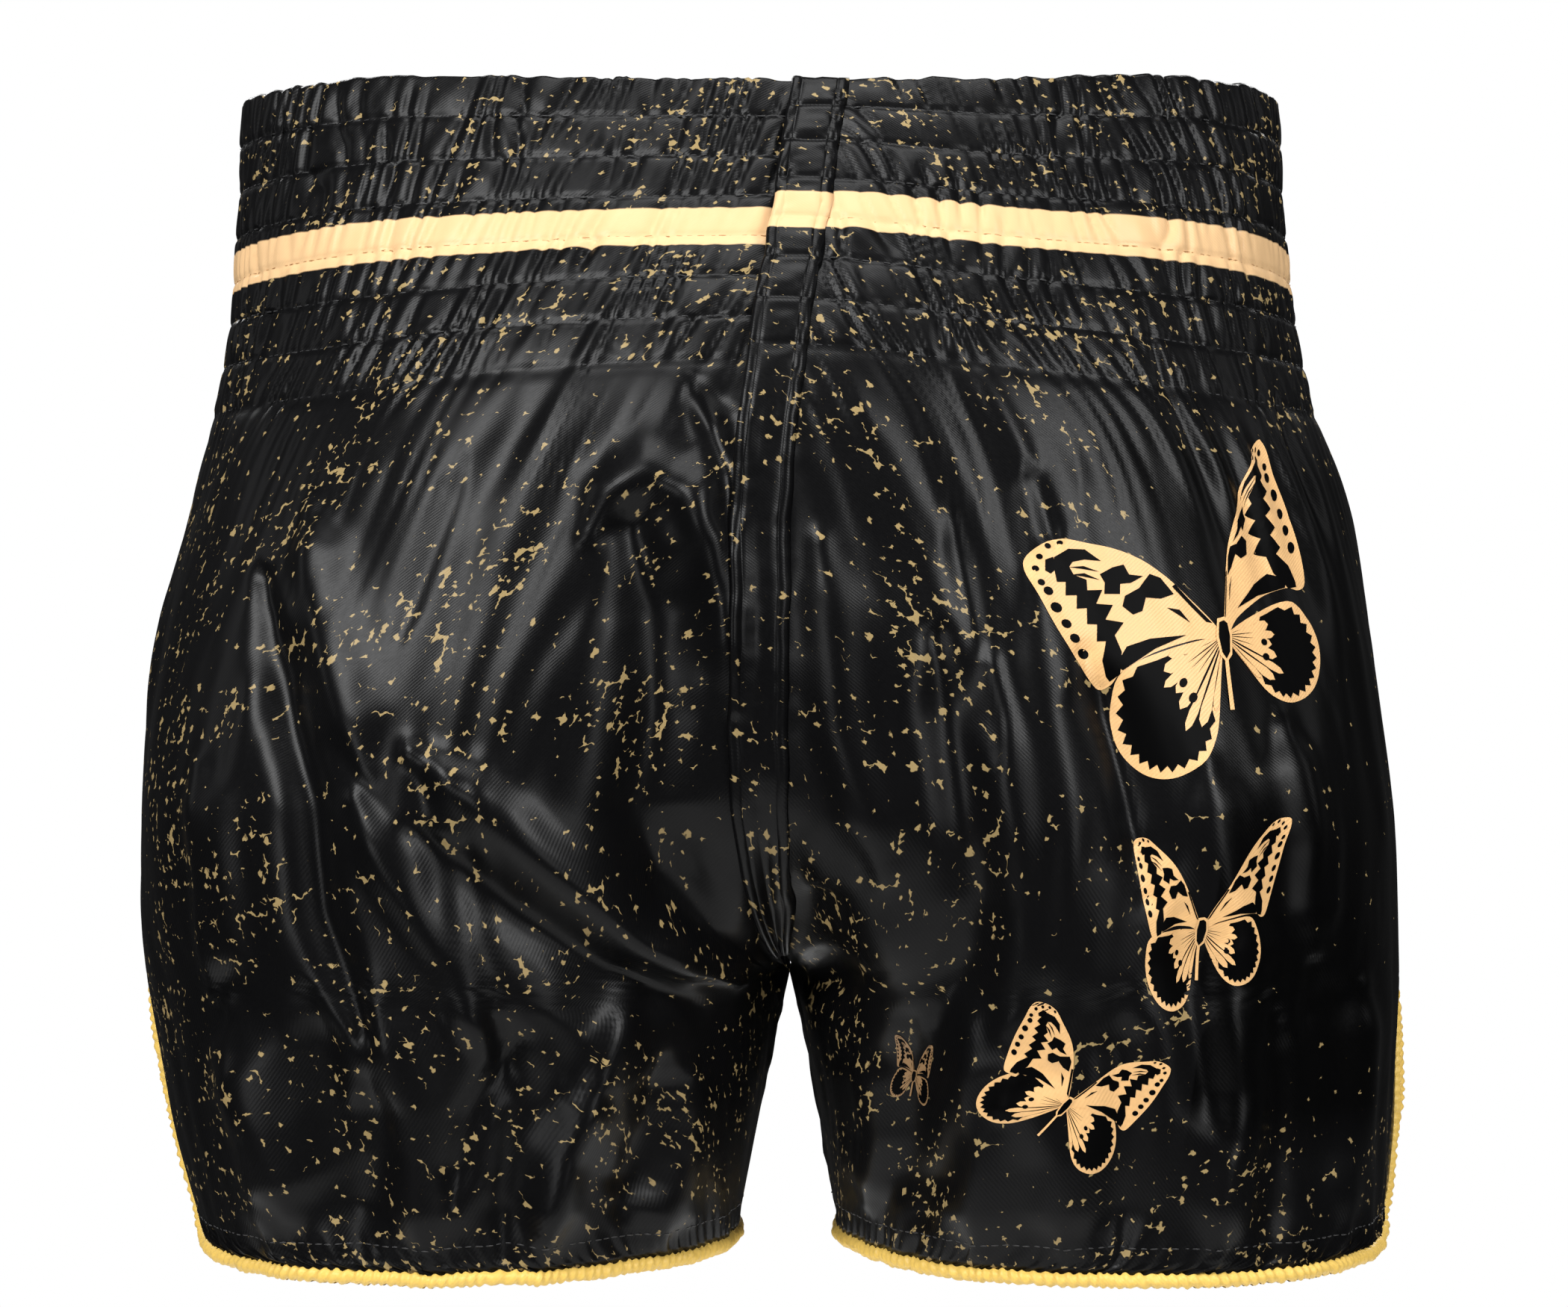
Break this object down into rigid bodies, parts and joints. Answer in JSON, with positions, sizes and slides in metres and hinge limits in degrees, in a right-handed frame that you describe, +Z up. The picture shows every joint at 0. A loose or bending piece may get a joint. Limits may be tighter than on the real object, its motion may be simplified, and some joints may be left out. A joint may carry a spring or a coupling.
{
  "type": "boxing shorts",
  "caption": "Loose satin kickboxing shorts with a shirred elastic waistband, felled centre seams, side slits and corded piping round the hems.",
  "frame": {"origin": "middle of the waist opening, level with the top of the side seams", "axes": "+X towards the wearer's right, +Y the way the wearer faces, +Z up out of the waist opening"},
  "size_m": [0.3712, 0.2338, 0.3418],
  "materials": {
    "shell_satin": "black satin with a fine diagonal twill, printed",
    "facing_cloth": "back of the black satin, matt",
    "elastic": "woven elastic, undyed",
    "piping_satin": "yellow-gold satin, puckered",
    "filler_cord": "twisted cotton cord",
    "thread": "polyester sewing thread",
    "label_cotton": "blank woven tape"
  },
  "bodies": {
    "root": {"back_panel_left": "shell_satin", "front_panel_left": "shell_satin", "back_panel_right": "shell_satin", "front_panel_right": "shell_satin", "elastic_row_1": "elastic", "elastic_row_2": "elastic", "elastic_row_3": "elastic", "elastic_row_4": "elastic", "elastic_row_5": "elastic", "elastic_row_6": "elastic", "elastic_row_7": "elastic", "waistband_facing_left": "facing_cloth", "waistband_facing_right": "facing_cloth", "centre_back_fell": "shell_satin", "centre_front_fell": "shell_satin", "side_seam_left": "shell_satin", "inseam_left": "shell_satin", "side_seam_right": "shell_satin", "inseam_right": "shell_satin", "piping_cover_left": "piping_satin", "piping_cord_left": "filler_cord", "piping_cover_right": "piping_satin", "piping_cord_right": "filler_cord", "hem_turn_up_back_left": "shell_satin", "hem_turn_up_front_left": "shell_satin", "hem_turn_up_back_right": "shell_satin", "hem_turn_up_front_right": "shell_satin", "slit_bar_tack_left": "thread", "slit_bar_tack_right": "thread", "size_label": "label_cotton"}
  },
  "joints": []
}
